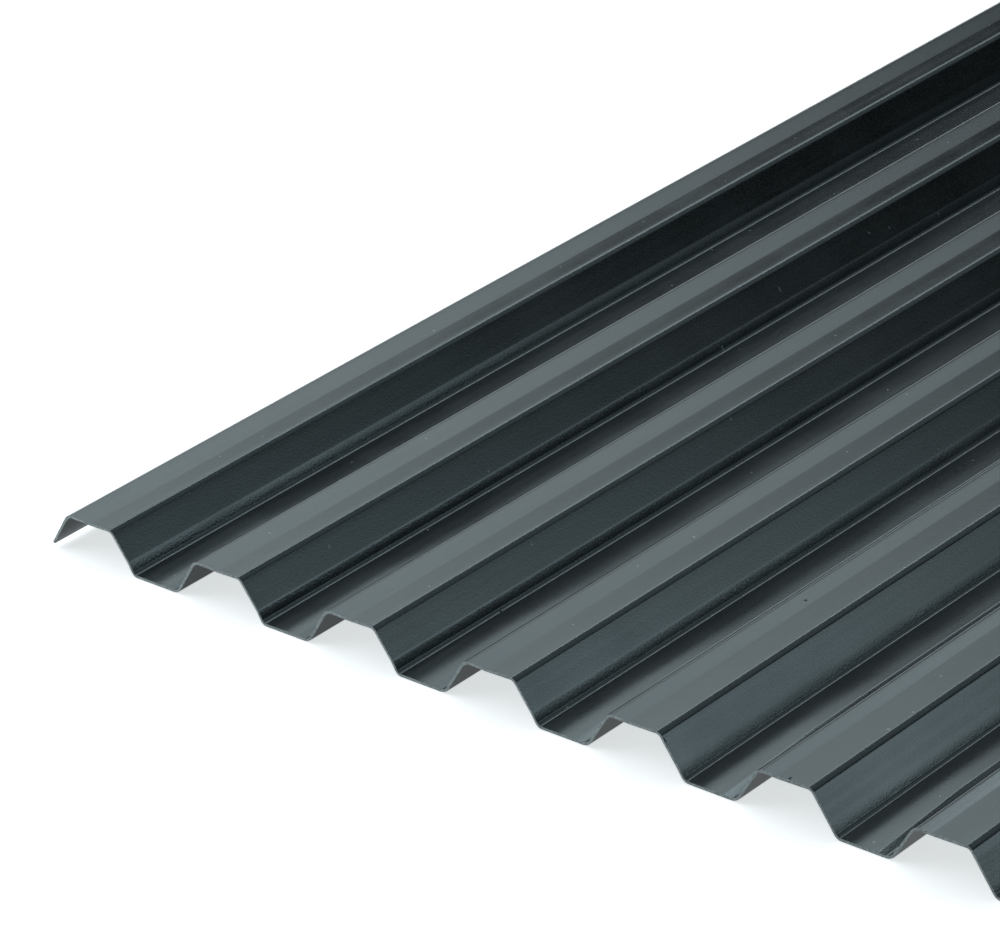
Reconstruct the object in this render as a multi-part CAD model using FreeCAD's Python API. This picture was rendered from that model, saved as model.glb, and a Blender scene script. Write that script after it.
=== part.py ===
import FreeCAD, Part
import math
import os

# Corrugated roofing sheet with flat-topped ribs, formed from one sheet of rigid plastic.
# The ribs run along Y and stand up in +Z, and X runs across the sheet.
# The origin is below the middle of the sheet, on the plane that the valleys rest on.
# All sizes are in millimetres.

LENGTH = 2000.0        # along the ribs, between the two cut ends
RIB_COUNT = 16         # ribs across the sheet, with one at each side edge
PITCH = 70.0           # from one rib's centre to the next
HEIGHT = 18.0          # from the underside of the valleys to the top of the ribs
THICKNESS = 1.2        # of the sheet itself, the same all over
CROWN_WIDTH = 24.0     # flat top of a rib, between the corners of the mid-line
VALLEY_WIDTH = 24.0    # flat bottom of a valley, between the corners of the mid-line
BEND_RADIUS = 3.0      # of every bend, to the middle of the thickness
EDGE_CLEARANCE = 1.8   # from the plane of the valleys' undersides up to the sheet's side edges

HALF_THICKNESS = THICKNESS / 2
CROWN_LEVEL = HEIGHT - HALF_THICKNESS
VALLEY_LEVEL = HALF_THICKNESS
WEB_RUN = (PITCH - CROWN_WIDTH - VALLEY_WIDTH) / 2
WEB_ANGLE = math.atan2(CROWN_LEVEL - VALLEY_LEVEL, WEB_RUN)
FIRST_RIB_X = -PITCH * (RIB_COUNT - 1) / 2


def section_point(x, z):
    """A point of the section, which is drawn at the front cut end."""
    return FreeCAD.Vector(x, -LENGTH / 2, z)


def side_edge_corner(rib_x, side):
    """End of the mid-line at a side edge, where the outer web of the last rib is cut short."""
    level = EDGE_CLEARANCE + HALF_THICKNESS * math.cos(WEB_ANGLE)
    run = (CROWN_LEVEL - level) / math.tan(WEB_ANGLE)
    return section_point(rib_x + side * (CROWN_WIDTH / 2 + run), level)


def mid_line_corners():
    """Corners of the mid-line before bending, from the left edge of the sheet to the right."""
    corners = [side_edge_corner(FIRST_RIB_X, -1)]
    for rib in range(RIB_COUNT):
        rib_x = FIRST_RIB_X + rib * PITCH
        if rib > 0:
            valley_x = rib_x - PITCH / 2
            corners.append(section_point(valley_x - VALLEY_WIDTH / 2, VALLEY_LEVEL))
            corners.append(section_point(valley_x + VALLEY_WIDTH / 2, VALLEY_LEVEL))
        corners.append(section_point(rib_x - CROWN_WIDTH / 2, CROWN_LEVEL))
        corners.append(section_point(rib_x + CROWN_WIDTH / 2, CROWN_LEVEL))
    corners.append(side_edge_corner(-FIRST_RIB_X, 1))
    return corners


def face_normal(start, end):
    """Unit normal of a straight stretch of the section, on its upper side."""
    along = (end - start).normalize()
    return FreeCAD.Vector(-along.z, 0, along.x)


def bend_arc(before, corner, after, offset):
    """Arc of one bend, on the surface that lies offset above the mid-line."""
    back = (before - corner).normalize()
    ahead = (after - corner).normalize()
    half_angle = back.getAngle(ahead) / 2
    tangent_length = BEND_RADIUS / math.tan(half_angle)
    inward = (back + ahead).normalize()
    centre = corner + inward * (BEND_RADIUS / math.sin(half_angle))
    start = corner + back * tangent_length + face_normal(before, corner) * offset
    end = corner + ahead * tangent_length + face_normal(corner, after) * offset
    middle = centre - inward * (start - centre).Length
    return Part.Arc(start, middle, end).toShape()


def surface_line(corners, offset):
    """Upper or lower line of the section: straight stretches joined by the bends' arcs."""
    edges = []
    reached = corners[0] + face_normal(corners[0], corners[1]) * offset
    for before, corner, after in zip(corners, corners[1:], corners[2:]):
        bend = bend_arc(before, corner, after, offset)
        edges.append(Part.makeLine(reached, bend.valueAt(bend.FirstParameter)))
        edges.append(bend)
        reached = bend.valueAt(bend.LastParameter)
    last = corners[-1] + face_normal(corners[-2], corners[-1]) * offset
    edges.append(Part.makeLine(reached, last))
    return edges


def edge_line(tip, normal):
    """Square-cut side edge of the sheet, through its thickness."""
    return Part.makeLine(tip + normal * HALF_THICKNESS, tip - normal * HALF_THICKNESS)


def roofing_sheet():
    """The whole sheet: its section, drawn along the ribs from one cut end to the other."""
    corners = mid_line_corners()
    edges = surface_line(corners, HALF_THICKNESS) + surface_line(corners, -HALF_THICKNESS)
    edges.append(edge_line(corners[0], face_normal(corners[0], corners[1])))
    edges.append(edge_line(corners[-1], face_normal(corners[-2], corners[-1])))
    outline = Part.Wire(Part.__sortEdges__(edges))
    return Part.Face(outline).extrude(FreeCAD.Vector(0, LENGTH, 0))


os.makedirs("parts", exist_ok=True)
sheet = roofing_sheet()
sheet.exportStep("parts/roofing_sheet.step")
box = sheet.BoundBox
print("roofing_sheet", "valid", sheet.isValid(), "solids", len(sheet.Solids), "volume", round(sheet.Volume))
print("size", round(box.XLength, 3), round(box.YLength, 3), round(box.ZLength, 3))
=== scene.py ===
import bmesh
import bpy
import math
from mathutils import Matrix, Vector, noise


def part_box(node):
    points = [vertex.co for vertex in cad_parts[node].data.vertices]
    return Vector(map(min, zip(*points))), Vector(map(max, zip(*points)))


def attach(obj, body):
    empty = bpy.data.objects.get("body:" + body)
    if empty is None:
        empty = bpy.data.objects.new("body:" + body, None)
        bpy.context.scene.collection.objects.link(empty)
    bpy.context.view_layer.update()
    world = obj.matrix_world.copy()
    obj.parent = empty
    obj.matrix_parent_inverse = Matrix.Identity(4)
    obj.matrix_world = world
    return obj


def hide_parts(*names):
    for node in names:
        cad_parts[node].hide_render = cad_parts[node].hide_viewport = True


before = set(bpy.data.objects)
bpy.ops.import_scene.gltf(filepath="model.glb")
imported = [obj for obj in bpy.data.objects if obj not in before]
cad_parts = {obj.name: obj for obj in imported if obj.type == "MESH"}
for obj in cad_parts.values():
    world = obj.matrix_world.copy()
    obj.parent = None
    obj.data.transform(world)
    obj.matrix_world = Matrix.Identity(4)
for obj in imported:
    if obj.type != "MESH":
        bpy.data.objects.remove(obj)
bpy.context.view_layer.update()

# ---------------------------------------------------------------------------------------
# The roofing sheet itself: one flat sheet of through-coloured rigid plastic, drawn out hot
# and folded into flat-topped ribs. The bends are soft, the ribs' tops sink and the valleys'
# floors bow up a little as it cools, and both ends are sawn square. The sawn edge is paler,
# partly the bared edge's own colour and partly painted light put into that colour.
# ---------------------------------------------------------------------------------------

RIB_COUNT = 16
PITCH = 0.070
CROWN_WIDTH = 0.024
VALLEY_WIDTH = 0.024
THICKNESS = 0.0012
BEND_RADIUS = 0.003
LEFT_BEND_RADIUS = 0.0045    # the bends of a rib's left wall are rounder than those of its right
EDGE_CLEARANCE = 0.0018
SINK_DEPTH = 0.00035         # how far a rib's top sinks along its cooling line at a sawn end
SINK_MORE = 0.0003           # how much further it sinks away from the ends
SINK_MIDDLE = 0.43           # where that line lies, as a share of the top's width
SINK_SWING = 0.12            # how far it moves to and fro from rib to rib
SINK_RIBS = 7                # ribs from one end of that swing to the other
VALLEY_BOW = 0.0012          # how far the outer valleys' floors bow up
VALLEY_BOW_MORE = 0.0012     # how much further the middle ones do
VALLEY_PEAK = 0.76           # where that bow is highest, as a share of the valley's width
PEAK_WIDTH = 0.0008          # how narrow the turn at that peak is
FLAT_END = 0.05              # how far in from a sawn end these take to grow
FOOT_TUCK = 0.00075          # how far a right-hand wall tucks in above its foot
FOOT_HEIGHT = 0.3            # how high that tuck reaches, as a share of the wall
FOOT_RIBS = 5                # ribs over which the tuck comes and goes
DRIFT = 0.0006               # how far the long folds wander sideways
SWELL = 0.00015              # how far the faces swell up and down along the sheet
WANDER_ACROSS = 2.5          # how quickly both change across the sheet
WANDER_ALONG = 2.2           # and along it
SWELL_PACE = 1.7             # how much quicker the swell changes than the wander
SWELL_START = Vector((7.0, 3.0, 5.0))
BEND_STEPS = 6               # flat steps round a bend
CREASE_WIDTH = 0.0005        # half the width over which a cooling line or a peak turns
CREASE_STEPS = 2
CUTS_ACROSS = 3              # rows of points added across each flat, so that it can bow
CUTS_ALONG = 39              # and along the sheet
WORN_EDGE = 0.00012          # how far a sawn arris is worn back
WORN_STEPS = 2

BEND_ANGLE = 0.5             # a fold is a bend from this angle up
CREASE_ANGLE = 0.25          # and only a crease below this one
WALL_LEAN = 0.8              # a face is a wall when its normal rises less than this
STRIP_AREA = 0.005           # the least area of a whole flat, between two folds
STRIP_WIDTH = 0.005          # the least width of one
LEVEL_REACH = 0.002          # how near its level a point of a top or a valley lies

low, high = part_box("roofing_sheet")
low, high = Vector(low), Vector(high)
crown_level = high.z - THICKNESS / 2
valley_level = low.z + THICKNESS / 2
web_rise = crown_level - valley_level
web_run = (PITCH - CROWN_WIDTH - VALLEY_WIDTH) / 2
web_angle = math.atan2(web_rise, web_run)
edge_level = low.z + EDGE_CLEARANCE + THICKNESS / 2 * math.cos(web_angle)
edge_rise = crown_level - edge_level
edge_run = edge_rise / math.tan(web_angle)


def cooling_share(rib):
    """Where a rib's cooling line lies, as a share of the top's width."""
    return SINK_MIDDLE + SINK_SWING * math.cos(math.pi * rib / SINK_RIBS)


def rib_top_steps(rib):
    """The two shallow slopes of a rib's top, down to its cooling line and up again."""
    share = cooling_share(rib)
    return [(CROWN_WIDTH * share, -SINK_DEPTH), (CROWN_WIDTH * (1 - share), SINK_DEPTH)]


def right_wall_steps(rib):
    """The wall on a rib's right, which stands a little steeper at its foot on some ribs."""
    tuck = FOOT_TUCK * (0.5 + 0.5 * math.cos(math.pi * (rib - 1) / FOOT_RIBS))
    foot = (web_run * FOOT_HEIGHT - tuck, -web_rise * FOOT_HEIGHT)
    return [(web_run - foot[0], -web_rise - foot[1]), foot]


def section_steps():
    """Every straight stretch of the section as (across, up), from the left edge to the right."""
    steps = [(edge_run, edge_rise)]
    for rib in range(RIB_COUNT):
        if rib > 0:
            steps += right_wall_steps(rib - 1)
            steps += [(VALLEY_WIDTH * VALLEY_PEAK - PEAK_WIDTH, 0), (PEAK_WIDTH, 0)]
            steps += [(VALLEY_WIDTH * (1 - VALLEY_PEAK), 0)]
            steps += [(web_run, web_rise)]
        steps += rib_top_steps(rib)
    return steps + [(edge_run, -edge_rise)]


def tent(share, peak):
    """A rise from 0 at one side to 1 at its peak, and back to 0 at the other side."""
    return max(0.0, min(share / peak, (1 - share) / (1 - peak)))


def cooling_rise(spot):
    """How far the cooled sheet has moved up (or, on a rib's top, down) away from its ends."""
    from_end = min(1.0, (high.y - abs(spot.y)) / FLAT_END)
    if spot.z < valley_level + LEVEL_REACH:
        valley = round(spot.x / PITCH)
        share = (spot.x / PITCH - valley) * PITCH / VALLEY_WIDTH + 0.5
        bow = VALLEY_BOW + VALLEY_BOW_MORE * (1 - abs(valley) / (RIB_COUNT / 2))
        return bow * tent(share, VALLEY_PEAK) * from_end
    if spot.z > crown_level - LEVEL_REACH:
        rib = round(spot.x / PITCH + (RIB_COUNT - 1) / 2)
        share = (spot.x / PITCH + (RIB_COUNT - 1) / 2 - rib) * PITCH / CROWN_WIDTH + 0.5
        return -SINK_MORE * tent(share, cooling_share(rib)) * from_end
    return 0.0


def fold_angle(edge):
    """How sharply the sheet turns at a fold line."""
    return edge.calc_face_angle(0.0)


def run_along(edge):
    """How far an edge runs along the sheet."""
    return abs(edge.verts[0].co.y - edge.verts[1].co.y)


folded = bmesh.new()
left_edge = -PITCH * (RIB_COUNT - 1) / 2 - CROWN_WIDTH / 2 - edge_run
tip = folded.verts.new((left_edge, low.y, edge_level))
for across, up in section_steps():
    grown = bmesh.ops.extrude_vert_indiv(folded, verts=[tip])
    tip = grown["verts"][0]
    bmesh.ops.translate(folded, verts=[tip], vec=(across, 0, up))
drawn = bmesh.ops.extrude_edge_only(folded, edges=folded.edges[:])
far_end = [part for part in drawn["geom"] if isinstance(part, bmesh.types.BMVert)]
bmesh.ops.translate(folded, verts=far_end, vec=(0, high.y - low.y, 0))

bmesh.ops.recalc_face_normals(folded, faces=folded.faces[:])
for rising, radius in ((True, LEFT_BEND_RADIUS), (False, BEND_RADIUS)):
    folds = [edge for edge in folded.edges if fold_angle(edge) > BEND_ANGLE
             and any(abs(face.normal.z) < WALL_LEAN
                     and (face.normal.x * face.normal.z < 0) == rising
                     for face in edge.link_faces)]
    bmesh.ops.bevel(folded, geom=folds, offset=radius * math.tan(web_angle / 2),
                    offset_type="OFFSET", segments=BEND_STEPS, profile=0.5, affect="EDGES", material=-1)
cooling_lines = [edge for edge in folded.edges
                 if 0 < fold_angle(edge) < CREASE_ANGLE and len(edge.link_faces) == 2
                 and min(face.calc_area() for face in edge.link_faces) > STRIP_AREA]
bmesh.ops.bevel(folded, geom=cooling_lines, offset=CREASE_WIDTH,
                offset_type="OFFSET", segments=CREASE_STEPS, profile=0.5, affect="EDGES", material=-1)
flat_ends = [edge for edge in folded.edges
             if run_along(edge) < 1e-6 and edge.calc_length() > STRIP_WIDTH]
bmesh.ops.subdivide_edges(folded, edges=flat_ends, cuts=CUTS_ACROSS, use_grid_fill=True)
long_lines = [edge for edge in folded.edges if run_along(edge) > (high.y - low.y) / 2]
bmesh.ops.subdivide_edges(folded, edges=long_lines, cuts=CUTS_ALONG, use_grid_fill=True)
for vert in folded.verts:
    vert.co.z += cooling_rise(vert.co)
    along = Vector((vert.co.x * WANDER_ACROSS, vert.co.y * WANDER_ALONG, 0.0))
    vert.co.x += DRIFT * noise.noise(along)
    vert.co.z += SWELL * noise.noise(along * SWELL_PACE + SWELL_START)
bmesh.ops.recalc_face_normals(folded, faces=folded.faces[:])
if sum(face.normal.z for face in folded.faces) < 0:
    bmesh.ops.reverse_faces(folded, faces=folded.faces[:])
for face in folded.faces:
    face.smooth = True

sheet_mesh = bpy.data.meshes.new("roofing_sheet_skin")
folded.to_mesh(sheet_mesh)
folded.free()
sheet = bpy.data.objects.new("formed_sheet", sheet_mesh)
bpy.context.collection.objects.link(sheet)

thickness = sheet.modifiers.new("sheet thickness", "SOLIDIFY")
thickness.thickness = THICKNESS
thickness.offset = 0.0
thickness.use_even_offset = True
thickness.material_offset_rim = 1
arris = sheet.modifiers.new("worn cut edge", "BEVEL")
arris.width = WORN_EDGE
arris.segments = WORN_STEPS
arris.limit_method = "ANGLE"
arris.angle_limit = math.radians(60)
flatness = sheet.modifiers.new("flat faces", "WEIGHTED_NORMAL")
flatness.weight = 50
flatness.keep_sharp = True


def new_material(name):
    """An empty node material with its output, and the shader that feeds it."""
    material = bpy.data.materials.new(name)
    material.use_nodes = True
    nodes = material.node_tree.nodes
    nodes.clear()
    shader = nodes.new("ShaderNodeBsdfPrincipled")
    output = nodes.new("ShaderNodeOutputMaterial")
    material.node_tree.links.new(shader.outputs["BSDF"], output.inputs["Surface"])
    return material, shader


def add_node(material, kind, **settings):
    """One more node in a material, with its own settings made on it."""
    node = material.node_tree.nodes.new(kind)
    for setting, value in settings.items():
        setattr(node, setting, value)
    return node


def plastic_grain_group():
    """The fine grain and the slow clouding that every face of the plastic shows."""
    group = bpy.data.node_groups.new("plastic_grain", "ShaderNodeTree")
    group.interface.new_socket("Position", in_out="INPUT", socket_type="NodeSocketVector")
    group.interface.new_socket("Grains per Metre", in_out="INPUT", socket_type="NodeSocketFloat")
    group.interface.new_socket("Grain", in_out="OUTPUT", socket_type="NodeSocketFloat")
    group.interface.new_socket("Cloud", in_out="OUTPUT", socket_type="NodeSocketFloat")
    nodes, links = group.nodes, group.links
    given, result = nodes.new("NodeGroupInput"), nodes.new("NodeGroupOutput")
    grain = nodes.new("ShaderNodeTexNoise")
    grain.inputs["Detail"].default_value = 1.5
    grain.inputs["Roughness"].default_value = 0.6
    links.new(given.outputs["Position"], grain.inputs["Vector"])
    links.new(given.outputs["Grains per Metre"], grain.inputs["Scale"])
    links.new(grain.outputs["Fac"], result.inputs["Grain"])
    cloud = nodes.new("ShaderNodeTexNoise")
    cloud.inputs["Scale"].default_value = 30.0
    cloud.inputs["Detail"].default_value = 4.0
    links.new(given.outputs["Position"], cloud.inputs["Vector"])
    links.new(cloud.outputs["Fac"], result.inputs["Cloud"])
    return group


def remap(material, value, low_in, high_in, low_out, high_out):
    """A value stretched from one range onto another, and held inside it."""
    ranged = add_node(material, "ShaderNodeMapRange")
    ranged.inputs["From Min"].default_value = low_in
    ranged.inputs["From Max"].default_value = high_in
    ranged.inputs["To Min"].default_value = low_out
    ranged.inputs["To Max"].default_value = high_out
    material.node_tree.links.new(value, ranged.inputs["Value"])
    return ranged.outputs["Result"]


def combine(material, operation, first, second):
    """Two values put together by one step of arithmetic."""
    node = add_node(material, "ShaderNodeMath", operation=operation)
    for socket, value in zip(node.inputs, (first, second)):
        if isinstance(value, float):
            socket.default_value = value
        else:
            material.node_tree.links.new(value, socket)
    return node.outputs[0]


def blend(material, amount, first, second):
    """Two colours mixed by an amount that changes over the surface."""
    mix = add_node(material, "ShaderNodeMix", data_type="RGBA")
    material.node_tree.links.new(amount, mix.inputs["Factor"])
    for socket, value in ((mix.inputs[6], first), (mix.inputs[7], second)):
        if isinstance(value, tuple):
            socket.default_value = value
        else:
            material.node_tree.links.new(value, socket)
    return mix.outputs[2]


def flecks(material, position, per_metre, radius, share):
    """A mask of small round marks, scattered flat over X and Y."""
    cells = add_node(material, "ShaderNodeTexVoronoi", voronoi_dimensions="2D")
    cells.inputs["Scale"].default_value = per_metre
    material.node_tree.links.new(position, cells.inputs["Vector"])
    rim = radius * per_metre
    near = remap(material, cells.outputs["Distance"], rim * FLECK_CORE, rim, 1.0, 0.0)
    lot = add_node(material, "ShaderNodeSeparateColor")
    material.node_tree.links.new(cells.outputs["Color"], lot.inputs["Color"])
    chosen = combine(material, "LESS_THAN", lot.outputs["Red"], share)
    return combine(material, "MULTIPLY", near, chosen)


GRAINS = 1150.0              # grains in a metre of the drawn skin
BLACK_GRAIN = (0.002, 0.003, 0.0035, 1)
SLATE_GRAIN = (0.020, 0.027, 0.029, 1)
CLOUDED = (0.017, 0.022, 0.024, 1)
CLOUD_SHARE = 0.35           # how far the clouding takes over the grain's colour
STREAK_STRETCH = (260.0, 2.5, 260.0)     # draw lines: close across the sheet, long along it
RAGGED_SCALE = 500.0         # how fine the uneven outline of a fleck is
RAGGED_REACH = 0.0016        # and how deep
FLECK_CORE = 0.6             # the share of a fleck's radius that has its full colour
DARK_FLECK = (0.002, 0.002, 0.002, 1)
DARK_FLECK_ROUGHNESS = 0.9
PALE_FLECK = (0.16, 0.19, 0.20, 1)
SMOOTHEST, ROUGHEST = 0.11, 0.16         # the skin's roughness, which follows the clouding
STREAK_ROUGHNESS = 0.05
GRAIN_RELIEF = 0.000022
STREAK_RELIEF = 0.000006

grain_group = plastic_grain_group()

skin, skin_shader = new_material("dark_rigid_plastic")
links = skin.node_tree.links
where = add_node(skin, "ShaderNodeTexCoord").outputs["Object"]
grained = add_node(skin, "ShaderNodeGroup", node_tree=grain_group)
grained.inputs["Grains per Metre"].default_value = GRAINS
links.new(where, grained.inputs["Position"])
grain = grained.outputs["Grain"]
cloud = grained.outputs["Cloud"]

stretch = add_node(skin, "ShaderNodeMapping")
stretch.inputs["Scale"].default_value = STREAK_STRETCH
links.new(where, stretch.inputs["Vector"])
streak = add_node(skin, "ShaderNodeTexNoise")
streak.inputs["Scale"].default_value = 1.0
streak.inputs["Detail"].default_value = 3.0
links.new(stretch.outputs["Vector"], streak.inputs["Vector"])

ragged = add_node(skin, "ShaderNodeTexNoise")
ragged.inputs["Scale"].default_value = RAGGED_SCALE
links.new(where, ragged.inputs["Vector"])
nudge = add_node(skin, "ShaderNodeVectorMath", operation="MULTIPLY_ADD")
nudge.inputs[1].default_value = (RAGGED_REACH, RAGGED_REACH, 0.0)
links.new(ragged.outputs["Color"], nudge.inputs[0])
links.new(where, nudge.inputs[2])
spot = nudge.outputs["Vector"]
dark_flecks = flecks(skin, spot, per_metre=16.0, radius=0.0008, share=0.35)
pale_flecks = flecks(skin, spot, per_metre=34.0, radius=0.00055, share=0.45)

base = blend(skin, remap(skin, grain, 0.38, 0.68, 0.0, 1.0), BLACK_GRAIN, SLATE_GRAIN)
base = blend(skin, remap(skin, cloud, 0.4, 0.7, 0.0, CLOUD_SHARE), base, CLOUDED)
base = blend(skin, pale_flecks, base, PALE_FLECK)
base = blend(skin, dark_flecks, base, DARK_FLECK)
links.new(base, skin_shader.inputs["Base Color"])

clouded_part = remap(skin, cloud, 0.3, 0.7, SMOOTHEST, ROUGHEST)
streak_part = remap(skin, streak.outputs["Fac"], 0.3, 0.7, 0.0, STREAK_ROUGHNESS)
rough = combine(skin, "ADD", clouded_part, streak_part)
rough = combine(skin, "MAXIMUM", rough, combine(skin, "MULTIPLY", dark_flecks, DARK_FLECK_ROUGHNESS))
links.new(rough, skin_shader.inputs["Roughness"])

streak_relief = combine(skin, "MULTIPLY", streak.outputs["Fac"], STREAK_RELIEF)
relief = combine(skin, "ADD", combine(skin, "MULTIPLY", grain, GRAIN_RELIEF), streak_relief)
bump = add_node(skin, "ShaderNodeBump")
bump.inputs["Strength"].default_value = 1.0
bump.inputs["Distance"].default_value = 1.0
links.new(relief, bump.inputs["Height"])
links.new(bump.outputs["Normal"], skin_shader.inputs["Normal"])
skin_shader.inputs["Specular Tint"].default_value = (0.74, 0.94, 1.0, 1)
skin_shader.inputs["IOR"].default_value = 1.56

SAWN_GRAINS = 900.0          # the saw's coarser grain on the bare edge
# Painted light: both colours of the sawn edge are far paler than the plastic, which lightens the end
# faces beyond what the lamps give them; the mix between the two follows the saw's grain.
SAWN_DARK_WITH_PAINTED_LIGHT = (0.20, 0.23, 0.24, 1)
SAWN_PALE_WITH_PAINTED_LIGHT = (0.50, 0.55, 0.56, 1)
SAWN_SMOOTHEST, SAWN_ROUGHEST = 0.5, 0.75

sawn, sawn_shader = new_material("sawn_edge_with_painted_light")
links = sawn.node_tree.links
where = add_node(sawn, "ShaderNodeTexCoord").outputs["Object"]
grained = add_node(sawn, "ShaderNodeGroup", node_tree=grain_group)
grained.inputs["Grains per Metre"].default_value = SAWN_GRAINS
links.new(where, grained.inputs["Position"])
cut_tone = remap(sawn, grained.outputs["Grain"], 0.3, 0.7, 0.0, 1.0)
# The sawn edge's colour, which holds painted light as well as the saw's grain.
cut_colour_with_painted_light = blend(sawn, cut_tone, SAWN_DARK_WITH_PAINTED_LIGHT, SAWN_PALE_WITH_PAINTED_LIGHT)
links.new(cut_colour_with_painted_light, sawn_shader.inputs["Base Color"])
cut_rough = remap(sawn, grained.outputs["Cloud"], 0.3, 0.7, SAWN_SMOOTHEST, SAWN_ROUGHEST)
links.new(cut_rough, sawn_shader.inputs["Roughness"])

sheet.data.materials.append(skin)
sheet.data.materials.append(sawn)
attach(sheet, "root")
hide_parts("roofing_sheet")

# ---------------------------------------------------------------------------------------
# The floor: a wide plain matt floor that the sheet lies on. A glow of its own, which only
# the camera and mirror images see, keeps it white, with a soft shadow close to the sheet.
# ---------------------------------------------------------------------------------------

FLOOR_NEAR = 0.7             # how white the camera sees the floor by the sheet, shadow aside
FLOOR_MIRRORED = 0.25        # how white the sheet mirrors it
FLOOR_REACH = 40.0           # how far out it goes
NEAR_TO, WHITE_FROM = 1.3, 2.6           # where it turns from the one white to pure white

floor_builder = bmesh.new()
bmesh.ops.create_grid(floor_builder, x_segments=1, y_segments=1, size=FLOOR_REACH)
bmesh.ops.translate(floor_builder, verts=floor_builder.verts[:], vec=(0, 0, low.z - SWELL))
floor_mesh = bpy.data.meshes.new("studio_floor")
floor_builder.to_mesh(floor_mesh)
floor_builder.free()
floor = bpy.data.objects.new("studio_floor", floor_mesh)
bpy.context.collection.objects.link(floor)
floor_white, floor_shader = new_material("white_floor")
floor_shader.inputs["Base Color"].default_value = (0.8, 0.8, 0.8, 1)
floor_shader.inputs["Roughness"].default_value = 0.9
floor_shader.inputs["Emission Color"].default_value = (0.95, 0.99, 1, 1)
seen = add_node(floor_white, "ShaderNodeLightPath")
mirrored = combine(floor_white, "MAXIMUM", seen.outputs["Is Glossy Ray"],
                   seen.outputs["Is Transmission Ray"])
mirrored = combine(floor_white, "MULTIPLY", mirrored, FLOOR_MIRRORED)
out_from_middle = add_node(floor_white, "ShaderNodeVectorMath", operation="LENGTH")
floor_spot = add_node(floor_white, "ShaderNodeTexCoord").outputs["Object"]
floor_white.node_tree.links.new(floor_spot, out_from_middle.inputs[0])
white = remap(floor_white, out_from_middle.outputs["Value"], NEAR_TO, WHITE_FROM, FLOOR_NEAR, 1.0)
white = combine(floor_white, "MULTIPLY", white, seen.outputs["Is Camera Ray"])
white = combine(floor_white, "ADD", white, mirrored)
floor_white.node_tree.links.new(white, floor_shader.inputs["Emission Strength"])
floor.data.materials.append(floor_white)

# ---------------------------------------------------------------------------------------
# The lights: five soft boxes in a dim room. A wide one hangs over the sheet's left side and
# one stands low on its right. Three weaker ones fill in from the left, the back and the
# front. All but the last change in brightness across their face, as lamps behind cloth do.
# ---------------------------------------------------------------------------------------

ALONG = {"X": 0, "Y": 1, "Z": 2}
LAMP_COLOUR = (0.88, 0.97, 1.0)


def soft_box(name, place, aim, width, height, radiance, fades):
    """A flat soft box. Each fade is (axis, from there, level there, to there, level there)."""
    lamp = bpy.data.lights.new(name, "AREA")
    lamp.shape = "RECTANGLE"
    lamp.size = width
    lamp.size_y = height
    lamp.color = LAMP_COLOUR
    lamp.energy = radiance * math.pi * width * height
    lamp.use_nodes = True
    nodes, links = lamp.node_tree.nodes, lamp.node_tree.links
    where = nodes.new("ShaderNodeSeparateXYZ")
    links.new(nodes.new("ShaderNodeNewGeometry").outputs["Position"], where.inputs[0])
    level = nodes.new("ShaderNodeValue").outputs[0]
    level.default_value = 1.0
    for axis, start, start_level, end, end_level in fades:
        fade = nodes.new("ShaderNodeMapRange")
        fade.inputs["From Min"].default_value = start
        fade.inputs["From Max"].default_value = end
        fade.inputs["To Min"].default_value = start_level
        fade.inputs["To Max"].default_value = end_level
        links.new(where.outputs[ALONG[axis]], fade.inputs["Value"])
        dimmed = nodes.new("ShaderNodeMath")
        dimmed.operation = "MULTIPLY"
        links.new(level, dimmed.inputs[0])
        links.new(fade.outputs["Result"], dimmed.inputs[1])
        level = dimmed.outputs[0]
    links.new(level, nodes["Emission"].inputs["Strength"])
    box = bpy.data.objects.new(name, lamp)
    bpy.context.collection.objects.link(box)
    box.location = place
    box.rotation_euler = (Vector(aim) - Vector(place)).to_track_quat("-Z", "Y").to_euler()
    box.visible_camera = False


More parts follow.
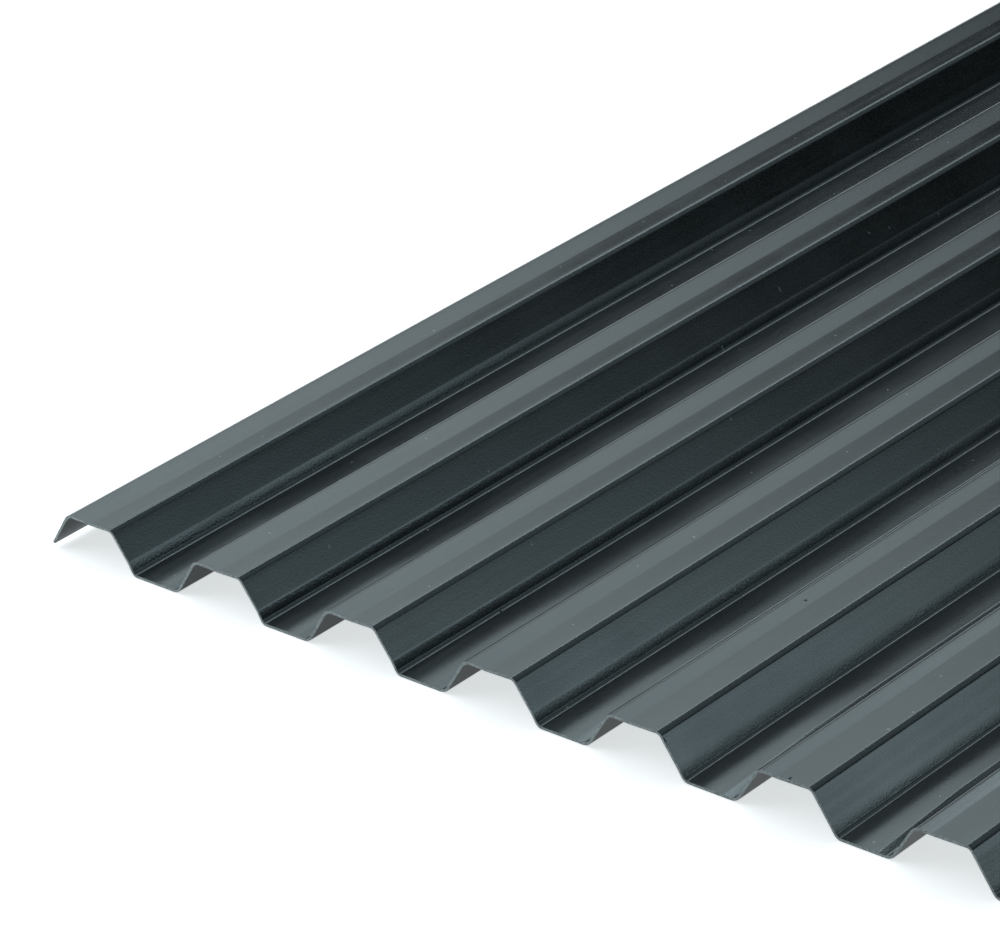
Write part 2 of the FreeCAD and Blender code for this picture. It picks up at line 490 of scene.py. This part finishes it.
soft_box("overhead_box", place=(-2.5, 0.0, 1.6), aim=(-2.5, 0.0, 0.0),
         width=3.0, height=6.0, radiance=1.9,
         fades=[("Y", 1.0, 1.0, 2.65, 0.0), ("X", -1.35, 1.0, -1.15, 2.4)])
soft_box("side_box", place=(2.0, 1.65, 1.5), aim=(0.0, 1.65, 1.5),
         width=1.7, height=1.6, radiance=2.5,
         fades=[("Y", 1.2, 1.0, 2.5, 0.0), ("Y", 1.2, 1.0, 3.0, 0.0), ("Z", 1.2, 1.0, 2.3, 0.0)])
soft_box("left_box", place=(-3.2, 1.0, 0.6), aim=(0.0, 1.0, 0.6),
         width=4.0, height=1.2, radiance=1.0, fades=[("Z", 0.7, 1.0, 1.2, 0.4)])
soft_box("back_fill", place=(0.1, 0.9, 1.6), aim=(0.1, 0.9, 0.0),
         width=1.8, height=2.6, radiance=0.55, fades=[("Y", 1.0, 1.0, 2.2, 0.4)])
soft_box("front_box", place=(-0.3, -4.0, 0.9), aim=(-0.3, -1.0, 0.0),
         width=4.0, height=1.2, radiance=0.8, fades=[])

ROOM_SEEN = 1.0              # how white the camera sees the room's walls
ROOM_DIM = 0.03              # how much light they give

world = bpy.data.worlds.new("studio_room")
world.use_nodes = True
bpy.context.scene.world = world
sky_nodes, sky_links = world.node_tree.nodes, world.node_tree.links
sky = sky_nodes["Background"]
sky.inputs["Color"].default_value = (1, 1, 1, 1)
in_view = sky_nodes.new("ShaderNodeLightPath")
sky_level = sky_nodes.new("ShaderNodeMapRange")
sky_level.inputs["To Min"].default_value = ROOM_DIM
sky_level.inputs["To Max"].default_value = ROOM_SEEN
sky_links.new(in_view.outputs["Is Camera Ray"], sky_level.inputs["Value"])
sky_links.new(sky_level.outputs["Result"], sky.inputs["Strength"])

# ---------------------------------------------------------------------------------------
# The camera: a long lens that looks down along the ribs from the front right, and stands a
# little askew.
# ---------------------------------------------------------------------------------------

CAMERA_PLACE = (0.8527, -2.2681, 0.9840)
TURN, LOOK_DOWN, ASKEW = 42.33, 27.177, -3.894       # degrees

camera_data = bpy.data.cameras.new("camera")
camera_data.lens = 189.8
camera_data.sensor_width = 36.0
camera_data.clip_end = 200.0
camera = bpy.data.objects.new("camera", camera_data)
bpy.context.collection.objects.link(camera)
turn = Matrix.Rotation(math.radians(TURN), 4, "Z")
tilt = Matrix.Rotation(math.radians(90 - LOOK_DOWN), 4, "X")
roll = Matrix.Rotation(math.radians(ASKEW), 4, "Z")
camera.matrix_world = Matrix.Translation(CAMERA_PLACE) @ turn @ tilt @ roll
bpy.context.scene.camera = camera
bpy.context.scene.view_settings.view_transform = "Standard"
